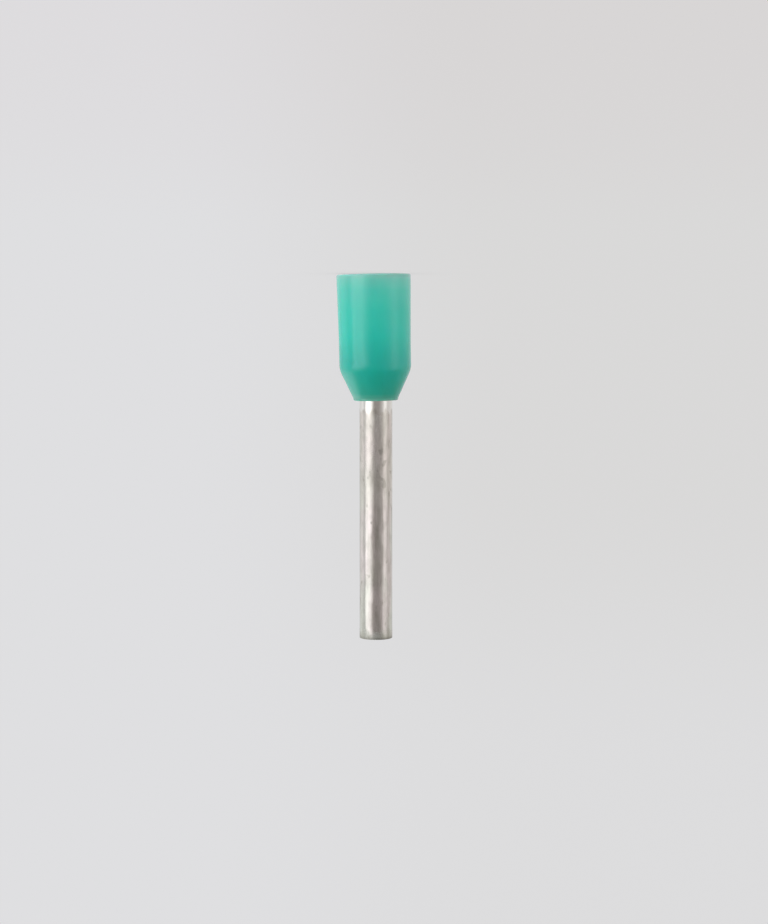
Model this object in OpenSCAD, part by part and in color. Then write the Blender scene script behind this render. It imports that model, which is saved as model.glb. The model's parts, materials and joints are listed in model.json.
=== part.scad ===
// Insulated wire ferrule for the bared end of 0.34 mm2 stranded wire.
// A drawn and tin-plated copper tube is flared at one end, and the flare is held
// inside a moulded plastic collar that takes the end of the wire's insulation.
// The ferrule stands on the mouth of its collar, with the origin at the centre
// of the mouth and +Z along the axis, towards the tip of the tube.

/* [Crimp tube] */
// Bore that the bared strands fill
tube_bore_d = 0.8; // [0.6:0.05:1]
// Thickness of the tube's wall
tube_wall = 0.15; // [0.1:0.01:0.2]
// Length of bare tube between the collar's tail and the tip
bare_len = 8; // [5:0.5:12]
// Slope of the flared end away from the axis, in degrees
flare_angle = 35; // [28:1:40]
// Outside radius of the bend that leads into the flare
flare_bend_r = 0.25; // [0.1:0.05:0.3]
// Rounding of the tube's cut edges
cut_round = 0.03; // [0.01:0.01:0.05]

/* [Collar barrel] */
// Bore that the wire's insulation slides into
collar_bore_d = 2; // [1.9:0.05:2.4]
// Length of the barrel from the mouth to the shoulder
barrel_len = 3.15; // [2.7:0.01:4]
// Thickness of the barrel's wall
barrel_wall = 0.2; // [0.15:0.005:0.3]
// Extra thickness of the wall at the mouth
mouth_swell = 0.04; // [0.01:0.005:0.08]
// Length over which the wall swells towards the mouth
mouth_len = 2.3; // [0.5:0.05:2.4]
// Rounding of the mouth's outer edge
mouth_round = 0.05; // [0.02:0.01:0.06]
// Rounding that leads the insulation into the bore
lead_in_round = 0.08; // [0.02:0.01:0.08]
// Rounding of the shoulder between the barrel and the taper
shoulder_round = 0.7; // [0.05:0.05:1]

/* [Collar tail] */
// Length of the taper from the shoulder to the tail
taper_len = 0.96; // [0.75:0.01:1.5]
// Radius of the blend from the taper into the tail
tail_blend = 0.08; // [0.02:0.01:0.1]
// Length of the straight tail past the taper
tail_len = 0.08; // [0.08:0.01:0.4]
// Thickness of the tail's wall around the tube
tail_wall = 0.2; // [0.1:0.005:0.25]
// Rounding of the tail's outer edge
tail_round = 0.05; // [0.01:0.01:0.05]

/* [Seat] */
// Distance past the shoulder at which the tube's flare begins
neck_rise = 0.66; // [0.4:0.01:0.7]
// Clearance between the tube and the seat in the collar
seat_gap = 0.01; // [0.005:0.005:0.03]
// Clearance between the rim of the flare and the collar's bore
rim_gap = 0.08; // [0.04:0.01:0.12]
// Rounding of the step from the collar's bore into the seat
seat_round = 0.1; // [0.02:0.01:0.15]

/* [Hidden] */
$fn = 96;

collar_color = [0.18, 0.63, 0.55];
tin_color = [0.8, 0.79, 0.77];

// Largest turn between two points of a rounded corner, in degrees
arc_step = 9;

collar_bore_r = collar_bore_d / 2;
barrel_r = collar_bore_r + barrel_wall;
collar_len = barrel_len + taper_len + tail_len;
tube_r = tube_bore_d / 2 + tube_wall;
tail_r = tube_r + tail_wall;
tip_z = collar_len + bare_len;

// The neck, where the straight tube bends into the flare
neck_z = barrel_len + neck_rise;
// Along the flare from the neck to the rim, and out of its outside face
flare_dir = [sin(flare_angle), -cos(flare_angle)];
flare_out = [cos(flare_angle), sin(flare_angle)];
flare_len = (collar_bore_r - rim_gap - tube_r) / flare_dir.x;

// The neck's corner on a surface that lies a distance out from the tube's outside
function neck(out) = [tube_r + out, neck_z + out * tan(flare_angle / 2)];

// A point on the flare of that surface, a distance along from the neck
function on_flare(out, along) = [tube_r, neck_z] + out * flare_out + along * flare_dir;

// Where the flare of that surface reaches a radius
function flare_at(out, radius) =
    let (start = neck(out)) start + flare_dir * (radius - start.x) / flare_dir.x;

function unit(v) = v / norm(v);

// A corner of an outline: its place and the radius that rounds it
function corner(place, radius = 0) = [place.x, place.y, radius];

// The arc that rounds a corner b between its neighbours a and c
function arc_at(a, b, c, radius) =
    let (
        u = unit(a - b),
        v = unit(c - b),
        half = acos(u * v) / 2,
        centre = b + unit(u + v) * radius / sin(half),
        from = b + u * radius / tan(half) - centre,
        turn = (180 - 2 * half) * sign(cross(v, u)),
        steps = ceil(abs(turn) / arc_step)
    )
    [for (i = [0 : steps]) let (t = turn * i / steps)
        centre + [from.x * cos(t) - from.y * sin(t), from.x * sin(t) + from.y * cos(t)]];

// An outline with its corners rounded
function rounded(corners) =
    let (n = len(corners), place = [for (k = corners) [k.x, k.y]])
    [for (i = [0 : n - 1])
        let (radius = corners[i].z)
        each radius == 0
            ? [place[i]]
            : arc_at(place[(i + n - 1) % n], place[i], place[(i + 1) % n], radius)];

// Half section of the collar, from the mouth along the outside and back inside
collar_section = rounded([
    corner([collar_bore_r, 0], lead_in_round),
    corner([barrel_r + mouth_swell, 0], mouth_round),
    corner([barrel_r, mouth_len]),
    corner([barrel_r, barrel_len], shoulder_round),
    corner([tail_r, barrel_len + taper_len], tail_blend),
    corner([tail_r, collar_len], tail_round),
    corner([neck(seat_gap).x, collar_len]),
    corner(neck(seat_gap), flare_bend_r - seat_gap),
    corner(flare_at(seat_gap, collar_bore_r), seat_round),
]);

// Half section of the tube's wall, from the flare's rim along the outside to the
// tip and back along the bore
tube_section = rounded([
    corner(on_flare(-tube_wall, flare_len), cut_round),
    corner(on_flare(0, flare_len), cut_round),
    corner(neck(0), flare_bend_r),
    corner([tube_r, tip_z], cut_round),
    corner([tube_r - tube_wall, tip_z], cut_round),
    corner(neck(-tube_wall), flare_bend_r + tube_wall),
]);

// Moulded collar: a barrel with a thin wall for the insulation, then a taper
// onto the tube, with a funnel inside that seats the flare
module insulating_collar() {
    color(collar_color)
        rotate_extrude() polygon(collar_section);
}

// Drawn tube, open at both ends, with the flare that guides the strands in
module crimp_tube() {
    color(tin_color)
        rotate_extrude() polygon(tube_section);
}

insulating_collar();
crimp_tube();
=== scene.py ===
"""Insulated wire ferrule, standing on the mouth of its collar in a small pale studio.

Sizes are in millimetres until a mesh is made, and the frame is the CAD model's: the origin is the
centre of the collar's mouth, and +Z runs along the axis to the tip of the tube.
"""

import json
import math

import bmesh
import bpy
from mathutils import Matrix, Vector, noise


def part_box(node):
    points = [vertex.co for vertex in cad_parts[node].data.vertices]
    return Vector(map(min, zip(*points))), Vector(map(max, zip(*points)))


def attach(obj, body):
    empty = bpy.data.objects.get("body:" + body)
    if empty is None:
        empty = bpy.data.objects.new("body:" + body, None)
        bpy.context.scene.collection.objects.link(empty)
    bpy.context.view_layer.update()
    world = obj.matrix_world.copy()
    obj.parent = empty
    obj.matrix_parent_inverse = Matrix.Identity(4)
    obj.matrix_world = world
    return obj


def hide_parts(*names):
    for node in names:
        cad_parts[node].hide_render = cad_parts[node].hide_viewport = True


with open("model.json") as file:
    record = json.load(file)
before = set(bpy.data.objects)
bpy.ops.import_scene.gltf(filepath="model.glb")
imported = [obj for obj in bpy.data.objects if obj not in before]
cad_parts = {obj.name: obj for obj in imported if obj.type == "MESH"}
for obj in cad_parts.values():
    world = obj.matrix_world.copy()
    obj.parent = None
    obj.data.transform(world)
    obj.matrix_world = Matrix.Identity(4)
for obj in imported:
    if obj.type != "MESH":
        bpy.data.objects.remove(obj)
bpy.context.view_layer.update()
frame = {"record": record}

MM = 0.001


# ---------------------------------------------------------------- sizes, in millimetres

def mount(name):
    """The dimensions of one of the record's mounts, in millimetres."""
    return next(m["dims"] for m in frame["record"]["mounts"] if m["name"] == name)


COLLAR_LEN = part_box("insulating_collar")[1].z / MM
MOUTH_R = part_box("insulating_collar")[1].x / MM
TIP_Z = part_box("crimp_tube")[1].z / MM
TUBE_R = mount("terminal_pin")["r_mm"]
TUBE_BORE_R = mount("wire_bore")["r_mm"]
COLLAR_BORE_R = mount("insulation_bore")["r_mm"]
TUBE_WALL = TUBE_R - TUBE_BORE_R

# Collar
MOUTH_LEN = 2.3
BARREL_R = 1.2
BARREL_LEN = 3.15
TAPER_LEN = 0.96
TAIL_R = 0.75
MOUTH_ROUND = 0.05
LEAD_IN_ROUND = 0.08
SHOULDER_ROUND = 0.7
TAIL_BLEND = 0.08
TAIL_ROUND = 0.05

# The flare that the collar's funnel holds
FLARE_ANGLE = math.radians(35)
FLARE_BEND_R = 0.25
NECK_Z = 3.81
SEAT_GAP = 0.01
SEAT_ROUND = 0.1
RIM_GAP = 0.08
CUT_ROUND = 0.03

# The collar sits a little askew on the tube, its mouth towards +X
COLLAR_LEAN = math.radians(1.07)

# The bare tube is at most this far out of round, in waves of so many to the millimetre
OUT_OF_ROUND = 0.003
ROUND_WAVES = (2.2, 2.2, 0.9)
# The length past the collar in which that sets in, and where in the noise the waves are taken
ROUND_FROM = 0.3
ROUND_AT = (7, 3, 1)


# ---------------------------------------------------------------- half sections, as (radius, height)

ARC_STEP = math.radians(9)
FLARE_DIR = Vector((math.sin(FLARE_ANGLE), -math.cos(FLARE_ANGLE)))
FLARE_OUT = Vector((math.cos(FLARE_ANGLE), math.sin(FLARE_ANGLE)))
FLARE_LEN = (COLLAR_BORE_R - RIM_GAP - TUBE_R) / FLARE_DIR.x


def neck(out):
    """The corner where the tube bends into its flare, on a surface a distance out from the tube's."""
    return Vector((TUBE_R + out, NECK_Z + out * math.tan(FLARE_ANGLE / 2)))


def on_flare(out, along):
    """A point of that surface's flare, a distance along from the neck."""
    return Vector((TUBE_R, NECK_Z)) + out * FLARE_OUT + along * FLARE_DIR


def flare_at(out, radius):
    """Where that surface's flare reaches a radius."""
    start = neck(out)
    return start + FLARE_DIR * (radius - start.x) / FLARE_DIR.x


def arc_at(before, corner, after, radius):
    """The points of the arc that rounds a corner between its neighbours."""
    u = (before - corner).normalized()
    v = (after - corner).normalized()
    half = math.acos(u.dot(v)) / 2
    centre = corner + (u + v).normalized() * radius / math.sin(half)
    start = corner + u * radius / math.tan(half) - centre
    turn = math.copysign(math.pi - 2 * half, v.cross(u))
    steps = math.ceil(abs(turn) / ARC_STEP)
    return [centre + Matrix.Rotation(turn * i / steps, 2) @ start for i in range(steps + 1)]


def rounded(corners):
    """A closed outline from its corners, each a place and the radius that rounds it."""
    places = [Vector(place) for place, _ in corners]
    outline = []
    for i, (_, radius) in enumerate(corners):
        if radius:
            outline += arc_at(places[i - 1], places[i], places[(i + 1) % len(places)], radius)
        else:
            outline.append(places[i])
    return outline


def divided(outline, step):
    """The outline with points added, so that none of its edges is longer than a step."""
    points = []
    for start, end in zip(outline, outline[1:] + outline[:1]):
        pieces = math.ceil((end - start).length / step)
        points += [start.lerp(end, i / pieces) for i in range(pieces)]
    return points


def collar_section():
    """The collar, from the mouth along the outside and back inside."""
    return rounded([
        ((COLLAR_BORE_R, 0), LEAD_IN_ROUND),
        ((MOUTH_R, 0), MOUTH_ROUND),
        ((BARREL_R, MOUTH_LEN), 0),
        ((BARREL_R, BARREL_LEN), SHOULDER_ROUND),
        ((TAIL_R, BARREL_LEN + TAPER_LEN), TAIL_BLEND),
        ((TAIL_R, COLLAR_LEN), TAIL_ROUND),
        ((neck(SEAT_GAP).x, COLLAR_LEN), 0),
        (neck(SEAT_GAP), FLARE_BEND_R - SEAT_GAP),
        (flare_at(SEAT_GAP, COLLAR_BORE_R), SEAT_ROUND),
    ])


def tube_section():
    """The tube's wall, from the flare's rim along the outside to the tip and back along the bore."""
    return rounded([
        (on_flare(-TUBE_WALL, FLARE_LEN), CUT_ROUND),
        (on_flare(0, FLARE_LEN), CUT_ROUND),
        (neck(0), FLARE_BEND_R),
        ((TUBE_R, TIP_Z), CUT_ROUND),
        ((TUBE_BORE_R, TIP_Z), CUT_ROUND),
        (neck(-TUBE_WALL), FLARE_BEND_R + TUBE_WALL),
    ])


# ---------------------------------------------------------------- meshes

# Faces around the axis, and the longest edge of a half section
SEGMENTS = 256
SECTION_STEP = 0.07


def smooth(value, low, high):
    """0 below low, 1 above high, and a smooth step between them."""
    t = min(max((value - low) / (high - low), 0), 1)
    return t * t * (3 - 2 * t)


def leaned(point):
    """A point of the collar once the collar leans, its lowest edge back on the floor."""
    tail = Vector((0, 0, COLLAR_LEN))
    lift = MOUTH_R * math.sin(COLLAR_LEAN)
    turned = Matrix.Rotation(-COLLAR_LEAN, 3, "Y") @ (point - tail) + tail
    return turned + Vector((0, 0, lift - COLLAR_LEN * (1 - math.cos(COLLAR_LEAN))))


def lathe(name, section, shape):
    """Turns a half section about the axis into a closed mesh; shape bends each of its points."""
    rows = divided(section, SECTION_STEP)
    mesh = bmesh.new()
    rings = []
    for radius, height in rows:
        ring = []
        for i in range(SEGMENTS):
            turn = 2 * math.pi * i / SEGMENTS
            point = Vector((radius * math.cos(turn), radius * math.sin(turn), height))
            ring.append(mesh.verts.new(shape(point) * MM))
        rings.append(ring)
    for ring, after in zip(rings, rings[1:] + rings[:1]):
        for i in range(SEGMENTS):
            j = (i + 1) % SEGMENTS
            mesh.faces.new((ring[i], ring[j], after[j], after[i]))
    bmesh.ops.recalc_face_normals(mesh, faces=mesh.faces)
    data = bpy.data.meshes.new(name)
    mesh.to_mesh(data)
    mesh.free()
    data.shade_smooth()
    piece = bpy.data.objects.new(name, data)
    bpy.context.collection.objects.link(piece)
    return piece


def tube_shape(point):
    """The tube as drawn: a few micrometres out of round, and its flare follows the collar's lean."""
    across = Vector((point.x, point.y, 0))
    bare = smooth(point.z, COLLAR_LEN, COLLAR_LEN + ROUND_FROM)
    wave = noise.noise(point * Vector(ROUND_WAVES) + Vector(ROUND_AT))
    out = across.normalized() * OUT_OF_ROUND * wave * bare
    held = smooth(point.z, COLLAR_LEN, NECK_Z)
    return (point + out).lerp(leaned(point), held)


# ---------------------------------------------------------------- shader nodes

class Shader:
    """Adds nodes to a node tree and links them."""

    def __init__(self, tree):
        self.tree = tree
        self.tree.nodes.clear()

    def add(self, kind, inputs=None, **settings):
        """A new node, with its inputs by name or number and its settings by name."""
        node = self.tree.nodes.new("ShaderNode" + kind)
        for name, value in settings.items():
            setattr(node, name, value)
        for name, value in (inputs or {}).items():
            self.feed(node.inputs[name], value)
        return node

    def feed(self, socket, value):
        """Links an output to the socket, or sets the socket's own value."""
        if isinstance(value, bpy.types.NodeSocket):
            self.tree.links.new(value, socket)
        else:
            socket.default_value = value

    def maths(self, operation, *values):
        """The result of a math node."""
        return self.add("Math", dict(enumerate(values)), operation=operation).outputs[0]

    def sine(self, opposite, adjacent):
        """The sine of an angle from the two short sides of its triangle."""
        return self.maths("SINE", self.maths("ARCTAN2", opposite, adjacent))

    def span(self, value, low, high, start=0.0, end=1.0):
        """A smooth step from start at low to end at high."""
        inputs = {"Value": value, "From Min": low, "From Max": high, "To Min": start, "To Max": end}
        return self.add("MapRange", inputs, interpolation_type="SMOOTHSTEP").outputs["Result"]

    def ramp(self, value, stops):
        """Colours by value: stops are (value from 0 to 1, colour)."""
        node = self.add("ValToRGB", {"Fac": value})
        elements = node.color_ramp.elements
        while len(elements) < len(stops):
            elements.new(0.5)
        for element, (place, colour) in zip(elements, stops):
            element.position = place
            element.color = (*colour, 1)
        return node.outputs["Color"]

    def mix(self, share, first, second, blend="MIX"):
        """A mix of two colours, or a share of one blended over the other."""
        node = self.add("Mix", {"Factor": share}, data_type="RGBA", blend_type=blend)
        for socket, colour in zip(node.inputs[6:8], (first, second)):
            linked = isinstance(colour, bpy.types.NodeSocket)
            self.feed(socket, colour if linked else (*colour, 1))
        return node.outputs[2]

    def place(self, along=1.0):
        """The object's own coordinates in millimetres, those along the axis scaled by a factor."""
        own = self.add("TexCoord").outputs["Object"]
        scale = (1 / MM, 1 / MM, along / MM)
        return self.add("VectorMath", {0: own, 1: scale}, operation="MULTIPLY").outputs[0]

    def height(self):
        """The height above the floor in millimetres."""
        return self.add("SeparateXYZ", {0: self.place()}).outputs["Z"]

    def noise(self, per_mm, along=1.0, detail=2.0):
        """Smooth noise around 0.5: waves to the millimetre, scaled by a factor along the axis."""
        inputs = {"Vector": self.place(along), "Scale": per_mm, "Detail": detail}
        return self.add("TexNoise", inputs).outputs["Fac"]

    def bumps(self, *layers):
        """Bumps over one another, each a height from 0 to 1 and its depth in millimetres."""
        under = {}
        for height, depth in layers:
            node = self.add("Bump", {"Height": height, "Distance": depth * MM, **under})
            under = {"Normal": node.outputs["Normal"]}
        return under["Normal"]

    def output(self, kind, closure):
        """The tree's output, which shows what a closure node gives."""
        self.add("Output" + kind, {"Surface": closure.outputs[0]})


def material(name):
    """An empty material and its shader."""
    made = bpy.data.materials.new(name)
    made.use_nodes = True
    return made, Shader(made.node_tree)


# ---------------------------------------------------------------- the collar's plastic

# Its colour from the mouth (0) to the tail's edge (1), with painted light and shade in it: paler where
# the wall is thin, as painted light shining through it; darker at the very rim, as painted shade where
# it stands on the floor; and lighter just past the shoulder than just before it, as painted shading
PLASTIC_AND_PAINTED_LIGHT = [
    (0.00, (0.27, 0.44, 0.39)),
    (0.012, (0.29, 0.62, 0.53)),
    (0.03, (0.29, 0.72, 0.61)),
    (0.05, (0.21, 0.74, 0.60)),
    (0.13, (0.11, 0.74, 0.585)),
    (0.30, (0.045, 0.72, 0.56)),
    (0.50, (0.015, 0.68, 0.53)),
    (0.62, (0.006, 0.60, 0.465)),
    (0.70, (0.003, 0.55, 0.43)),
    (0.78, (0.003, 0.565, 0.43)),
    (0.86, (0.003, 0.535, 0.395)),
    (0.95, (0.02, 0.50, 0.36)),
    (1.00, (0.14, 0.50, 0.37)),
]
# The colour of its faint clouds, and the most of it that shows
CLOUDY_PLASTIC = (0.02, 0.42, 0.36)
CLOUDINESS = 0.12
# The depths of its bumps in millimetres, from the broadest to the finest
WAVE_DEPTH = 0.02
RIPPLE_DEPTH = 0.008
GRAIN_DEPTH = 0.001
# The roughness varies between these
PLASTIC_ROUGHNESS = (0.07, 0.12)
# How far light travels in it, in millimetres, and the red, green and blue light's shares of that
LIGHT_DEPTH = 0.12
LIGHT_REACH = (0.3, 1.0, 0.8)


def collar_plastic():
    """Glossy moulded polypropylene, slightly translucent, with painted light and shade in its colour.
    """
    made, shader = material("collar_plastic")
    # Painted light and shade along the axis: light through the thin mouth, shade at the rim, shading
    # about the shoulder
    colour = shader.ramp(shader.maths("DIVIDE", shader.height(), COLLAR_LEN), PLASTIC_AND_PAINTED_LIGHT)
    cloud = shader.noise(1.3, along=0.5, detail=3)
    cloudy = shader.span(cloud, 0.35, 0.7, end=CLOUDINESS)
    wave = shader.noise(1.1, along=0.4)
    ripple = shader.noise(3, along=0.5, detail=3)
    grain = shader.noise(9, detail=3)
    haze = shader.noise(4, along=0.3, detail=3)
    bsdf = shader.add("BsdfPrincipled", {
        "Base Color": shader.mix(cloudy, colour, CLOUDY_PLASTIC),
        "Roughness": shader.span(haze, 0.3, 0.7, *PLASTIC_ROUGHNESS),
        "IOR": 1.49,
        "Specular IOR Level": 0.85,
        "Subsurface Weight": 1.0,
        "Subsurface Radius": LIGHT_REACH,
        "Subsurface Scale": LIGHT_DEPTH * MM,
        "Normal": shader.bumps((wave, WAVE_DEPTH), (ripple, RIPPLE_DEPTH), (grain, GRAIN_DEPTH)),
    })
    shader.output("Material", bsdf)
    return made


# ---------------------------------------------------------------- the tube's tin

# Its two cloudy tints
PALE_TIN = (0.775, 0.77, 0.69)
PINK_TIN = (0.86, 0.775, 0.745)
# Its tint on the half by the collar, which ends about here
WARM_TIN = (0.83, 0.735, 0.67)
WARM_TO = 7.5
# The dull colour of its ripples, streaks and specks, and the most of it that shows in each
DULL_TIN = (0.46, 0.43, 0.38)
RIPPLES = 0.35
STREAKS = 0.35
SPECKS = 0.6
# The specks are thickest around here
SOILED_Z = 6.3
# A painted highlight: brighter tin from the collar up to about here
PAINTED_HIGHLIGHT_TIN = (0.95, 0.91, 0.86)
HIGHLIGHT_RING_TO = COLLAR_LEN + 0.5
# Worn tin darkened with painted shade, from about here up, and how much of it shows
WORN_TIN_AND_PAINTED_SHADE = (0.42, 0.40, 0.33)
WORN_AND_SHADED_FROM = TIP_Z - 0.15
WORN_AND_SHADE_SHARE = 0.6
# The bare copper at the cut with painted shade on its rounded rim, from here up, and the most of it
# that shows
CUT_COPPER_AND_PAINTED_SHADE = (0.30, 0.28, 0.24)
CUT_FROM = TIP_Z - 0.12
CUT = 0.6
# The depths of its marks in millimetres
DENTS_DEEP = 0.02
RIPPLES_DEEP = 0.005
STREAKS_DEEP = 0.0004
# Its roughness by the collar and past the painted highlight there, and what is added in its clouds, on
# the half by the tip and where it is worn
BY_COLLAR_ROUGHNESS = 0.02
TIN_ROUGHNESS = 0.17
CLOUD_ROUGHNESS = 0.16
TIP_HALF_ROUGHNESS = -0.06
WORN_ROUGHNESS = 0.25


def tinned_copper():
    """Drawn and tin-plated copper: cloudy, streaked along the axis, speckled, brighter by the collar
    with a painted highlight, and worn and darkened with painted shade at the tip.
    """
    made, shader = material("tinned_copper")
    height = shader.height()
    dents = shader.noise(1.3, along=0.45)
    ripples = shader.noise(5, along=0.45)
    streaks = shader.noise(10, along=0.08)
    specks = shader.noise(5, along=0.6, detail=1)
    cloud = shader.noise(1.5, along=0.4)
    haze = shader.noise(3, along=0.4)
    # The height with a ragged edge, for the ends of the painted highlight by the collar and of the
    # worn tin with painted shade
    ragged = shader.maths("MULTIPLY_ADD", ripples, 0.5, height)
    far = shader.maths("ABSOLUTE", shader.maths("SUBTRACT", height, SOILED_Z))
    specks = shader.maths("ADD", specks, shader.span(far, 0.3, 1.2, 0.06, 0))
    worn_and_shaded = shader.span(ragged, WORN_AND_SHADED_FROM, WORN_AND_SHADED_FROM + 0.3)

    tint = shader.mix(shader.span(cloud, 0.35, 0.65), PALE_TIN, PINK_TIN)
    tint = shader.mix(shader.span(height, WARM_TO - 1, WARM_TO + 1, 0.5, 0), tint, WARM_TIN)
    tint = shader.mix(shader.span(ripples, 0.35, 0.75, end=RIPPLES), tint, DULL_TIN)
    tint = shader.mix(shader.span(streaks, 0.4, 0.75, end=STREAKS), tint, DULL_TIN)
    tint = shader.mix(shader.span(specks, 0.66, 0.76, end=SPECKS), tint, DULL_TIN)
    # Painted highlight: the tin brighter by the collar
    tint = shader.mix(shader.span(ragged, HIGHLIGHT_RING_TO, HIGHLIGHT_RING_TO + 0.2), PAINTED_HIGHLIGHT_TIN, tint)
    # Worn tin and painted shade: darker towards the tip
    tint = shader.mix(shader.maths("MULTIPLY", worn_and_shaded, WORN_AND_SHADE_SHARE), tint, WORN_TIN_AND_PAINTED_SHADE)
    # Painted shade on the rounded rim at the cut, with the cut's bare copper
    tint = shader.mix(shader.span(height, CUT_FROM, CUT_FROM + 0.1, end=CUT), tint, CUT_COPPER_AND_PAINTED_SHADE)

    matt = shader.span(ragged, HIGHLIGHT_RING_TO, HIGHLIGHT_RING_TO + 0.3, BY_COLLAR_ROUGHNESS, TIN_ROUGHNESS)
    glossier = shader.span(height, WARM_TO - 1, WARM_TO + 1, end=TIP_HALF_ROUGHNESS)
    matt = shader.maths("ADD", matt, glossier)
    matt = shader.maths("MULTIPLY_ADD", haze, CLOUD_ROUGHNESS, matt)
    bsdf = shader.add("BsdfPrincipled", {
        "Base Color": tint,
        "Metallic": 1.0,
        "Roughness": shader.maths("MULTIPLY_ADD", worn_and_shaded, WORN_ROUGHNESS, matt),
        "Anisotropic": 0.8,
        "Anisotropic Rotation": 0.25,
        "Tangent": shader.add("Tangent", direction_type="RADIAL", axis="Z").outputs[0],
        "Normal": shader.bumps((dents, DENTS_DEEP), (ripples, RIPPLES_DEEP), (streaks, STREAKS_DEEP)),
    })
    shader.output("Material", bsdf)
    return made


# ---------------------------------------------------------------- studio

FLOOR_R = 300
FLOOR_SEGMENTS = 128
# The backdrop's colours on the camera's left (+X) and on its right
BACKDROP_LEFT = (0.738, 0.738, 0.752)
BACKDROP_RIGHT = (0.697, 0.692, 0.690)
# The sines of the azimuths between which the right-hand one turns into the left-hand one
BACKDROP_TURN = (-0.07, 0.10)
# The sines of the elevations between which the right-hand one gets this share of the left-hand one
BACKDROP_HIGH = (0.07, 0.21)
BACKDROP_EVEN = 0.6
# On the floor the azimuths are taken about a point this far in front of the ferrule
BACKDROP_APEX = 68
# The floor's painted shade around that point, a slight darkening, and the distances from it between
# which it fades out
NEAR_PAINTED_SHADE = (0.985, 0.966, 0.969)
NEAR_FLOOR = (6, 38)
# The ferrule's soft shadow on the floor: what is left of the light, how far it reaches, and its rays
SHADOW = (0.85, 0.85, 0.85)
SHADOW_REACH = 3
SHADOW_RAYS = 32

# The room that lights the ferrule, by azimuth in degrees from the camera's side towards +X: the
# warmth of its light, and its brightness at the ferrule's height and higher up. The softboxes are
# on the left around 50 degrees and on the right around -65, and the backdrop is behind.
STUDIO = [
    (-180, -0.6, 0.66, 0.60),
    (-130, -0.1, 0.68, 0.45),
    (-112, 0.2, 0.63, 0.38),
    (-98, 0.3, 0.60, 0.30),
    (-88, 0.2, 0.62, 0.28),
    (-77, 0.0, 0.87, 0.26),
    (-60, 0.0, 0.93, 0.24),
    (-46, 0.3, 0.52, 0.22),
    (-34, 0.8, 0.38, 0.20),
    (-20, 1.1, 0.29, 0.19),
    (5, 1.2, 0.28, 0.19),
    (16, 0.9, 0.42, 0.21),
    (30, 0.0, 1.00, 0.25),
    (38, -0.4, 1.30, 0.28),
    (68, -0.6, 1.40, 0.36),
    (76, -0.6, 0.66, 0.48),
    (86, -0.8, 0.56, 0.80),
    (100, -0.6, 0.78, 1.10),
    (115, -0.5, 0.74, 1.20),
    (130, -0.6, 0.68, 1.20),
    (180, -0.6, 0.66, 0.60),
]
# The colour of a light as warm as 1
WARM = (1.0, 0.955, 0.93)
# The lights' colours are made as shares of this brightness
STUDIO_MAX = 2
# The floor's light from right below the ferrule, and from further out: opposite an azimuth, and at it
SHADED_FLOOR = (0.4, 0.4, 0.4)
FLOOR_AT = 40
LIT_FLOOR = ((0.85, 0.82, 0.80), (1.4, 1.55, 1.7))
# The ceiling's light, the same way
CEILING_AT = 90
CEILING = ((0.2, 0.2, 0.2), (1.5, 1.6, 1.7))
# The elevations between which each light turns into the next, from the floor up
SHADED_TO_LIT = (-70, -40)
FLOOR_TO_ROOM = (-25, -10)
ROOM_TO_ABOVE = (3, 38)
ABOVE_TO_CEILING = (54, 66)
# How far the left softbox leans: degrees of azimuth to a degree of elevation, up to an elevation,
# and the azimuths between which that sets in
LAMP_LEAN = 0.9
LAMP_LEAN_TO = 10
LAMP_LEAN_FROM = (0, 30)


def backdrop(shader, sine):
    """The pale backdrop's colour, by the sine of the azimuth towards +X."""
    return shader.mix(shader.span(sine, *BACKDROP_TURN), BACKDROP_RIGHT, BACKDROP_LEFT)


def studio_light():
    """A world that shows the camera a pale backdrop and lights the ferrule from the room around it."""
    world = bpy.data.worlds.new("studio")
    world.use_nodes = True
    bpy.context.scene.world = world
    shader = Shader(world.node_tree)
    way = shader.add("TexCoord").outputs["Generated"]
    x, y, z = shader.add("SeparateXYZ", {0: way}).outputs
    azimuth = shader.maths("DEGREES", shader.maths("ARCTAN2", x, shader.maths("MULTIPLY", y, -1.0)))
    elevation = shader.maths("DEGREES", shader.maths("ARCSINE", z))
    lean = shader.maths("MINIMUM", elevation, LAMP_LEAN_TO)
    lean = shader.maths("MULTIPLY", lean, shader.span(azimuth, *LAMP_LEAN_FROM, end=LAMP_LEAN))
    turn = shader.maths("MULTIPLY_ADD", shader.maths("SUBTRACT", azimuth, lean), 1 / 360, 0.5)
    azimuths, warmths, beside, above = zip(*STUDIO)

    def by_azimuth(lights):
        """The room's light at one height, by a column of STUDIO."""
        stops = []
        for at, warmth, light in zip(azimuths, warmths, lights):
            colour = [light / STUDIO_MAX * (1 - warmth * (1 - part)) for part in WARM]
            stops.append((at / 360 + 0.5, colour))
        return shader.ramp(turn, stops)

    def towards(at, colours):
        """A light that turns from one colour, opposite an azimuth, into another one at it."""
        apart = shader.maths("RADIANS", shader.maths("SUBTRACT", azimuth, at))
        near = shader.span(shader.maths("COSINE", apart), -1, 1)
        return shader.mix(near, *([part / STUDIO_MAX for part in colour] for colour in colours))

    room = [part / STUDIO_MAX for part in SHADED_FLOOR]
    for elevations, light in [
        (SHADED_TO_LIT, towards(FLOOR_AT, LIT_FLOOR)),
        (FLOOR_TO_ROOM, by_azimuth(beside)),
        (ROOM_TO_ABOVE, by_azimuth(above)),
        (ABOVE_TO_CEILING, towards(CEILING_AT, CEILING)),
    ]:
        room = shader.mix(shader.span(elevation, *elevations), room, light)
    lit = shader.add("Background", {"Color": room, "Strength": STUDIO_MAX})
    high = shader.span(z, *BACKDROP_HIGH, end=BACKDROP_EVEN)
    pale = shader.mix(high, backdrop(shader, shader.sine(x, y)), BACKDROP_LEFT)
    seen = shader.add("Background", {"Color": pale})
    shown = shader.add("LightPath").outputs["Is Camera Ray"]
    both = shader.add("MixShader", {0: shown, 1: lit.outputs[0], 2: seen.outputs[0]})
    shader.output("World", both)


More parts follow.
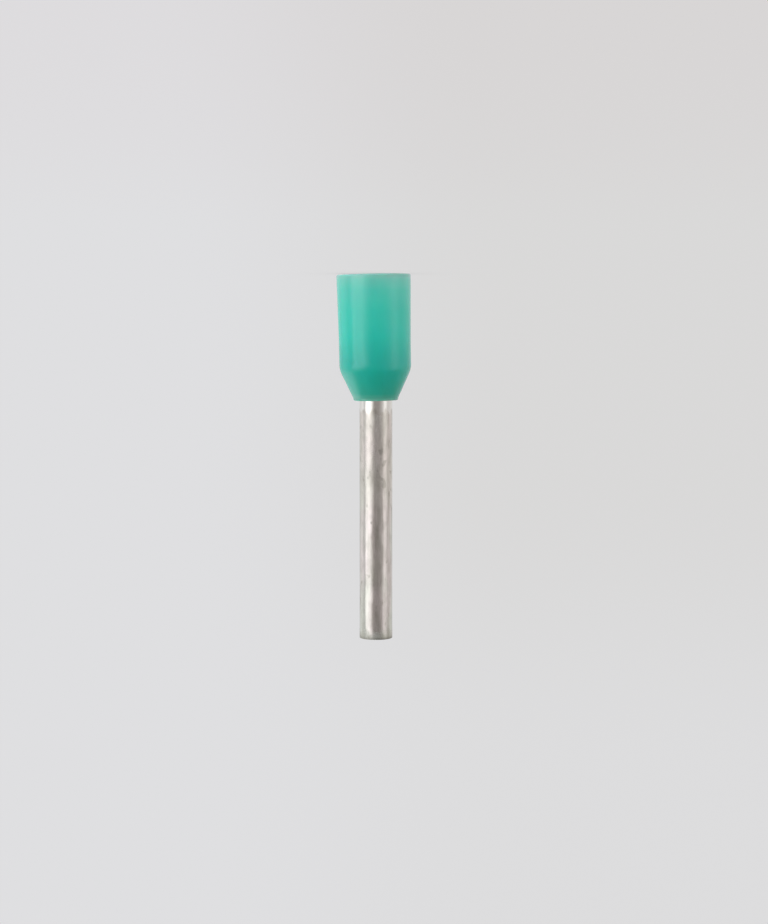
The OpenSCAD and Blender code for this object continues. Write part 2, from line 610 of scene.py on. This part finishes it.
def floor():
    """A pale disc that takes the ferrule's shadow and meets the backdrop without a line."""
    mesh = bmesh.new()
    bmesh.ops.create_circle(mesh, cap_ends=True, segments=FLOOR_SEGMENTS, radius=FLOOR_R * MM)
    data = bpy.data.meshes.new("floor")
    mesh.to_mesh(data)
    mesh.free()
    made, shader = material("floor")
    inputs = {0: shader.place(), 1: (0, BACKDROP_APEX, 0)}
    from_apex = shader.add("VectorMath", inputs, operation="ADD").outputs[0]
    x, y, _ = shader.add("SeparateXYZ", {0: from_apex}).outputs
    away = shader.add("VectorMath", {0: from_apex}, operation="LENGTH").outputs["Value"]
    pale = backdrop(shader, shader.sine(x, y))
    # Painted shade: the floor a little darker around the point in front of the ferrule
    pale = shader.mix(shader.span(away, *NEAR_FLOOR, 1, 0), pale, NEAR_PAINTED_SHADE, "MULTIPLY")
    sky = shader.add("AmbientOcclusion", {"Distance": SHADOW_REACH * MM}, samples=SHADOW_RAYS)
    pale = shader.mix(shader.span(sky.outputs["AO"], 0, 1, 1, 0), pale, SHADOW, "MULTIPLY")
    shader.output("Material", shader.add("Emission", {"Color": pale}))
    data.materials.append(made)
    disc = bpy.data.objects.new("floor", data)
    bpy.context.collection.objects.link(disc)
    disc.visible_diffuse = False
    disc.visible_glossy = False
    disc.visible_shadow = False


# The camera looks along +Y from close by, a little upwards, and is held upside down, because
# the ferrule hangs from its collar in this view
CAMERA_AT = (-0.27, -67.9, 1.965)
CAMERA_PITCH = math.radians(3.63)
CAMERA_LENS = 79.25
CAMERA_NEAREST = 1


def camera():
    """The scene's camera, with the photograph's view."""
    data = bpy.data.cameras.new("camera")
    data.lens = CAMERA_LENS
    data.clip_start = CAMERA_NEAREST * MM
    data.clip_end = 2 * FLOOR_R * MM
    seen_by = bpy.data.objects.new("camera", data)
    bpy.context.collection.objects.link(seen_by)
    back = Vector((0, -math.cos(CAMERA_PITCH), -math.sin(CAMERA_PITCH)))
    right = Vector((-1, 0, 0))
    turn = Matrix((right, back.cross(right), back)).transposed().to_4x4()
    seen_by.matrix_world = Matrix.Translation(Vector(CAMERA_AT) * MM) @ turn
    bpy.context.scene.camera = seen_by


# ---------------------------------------------------------------- the scene

def dress(name, node, section, shape, finish):
    """A finely turned piece that stands for a CAD node."""
    piece = lathe(name, section, shape)
    piece.data.materials.append(finish)
    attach(piece, "root")
    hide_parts(node)


dress("collar", "insulating_collar", collar_section(), leaned, collar_plastic())
dress("tube", "crimp_tube", tube_section(), tube_shape, tinned_copper())
floor()
studio_light()
camera()
bpy.context.scene.view_settings.view_transform = "Standard"
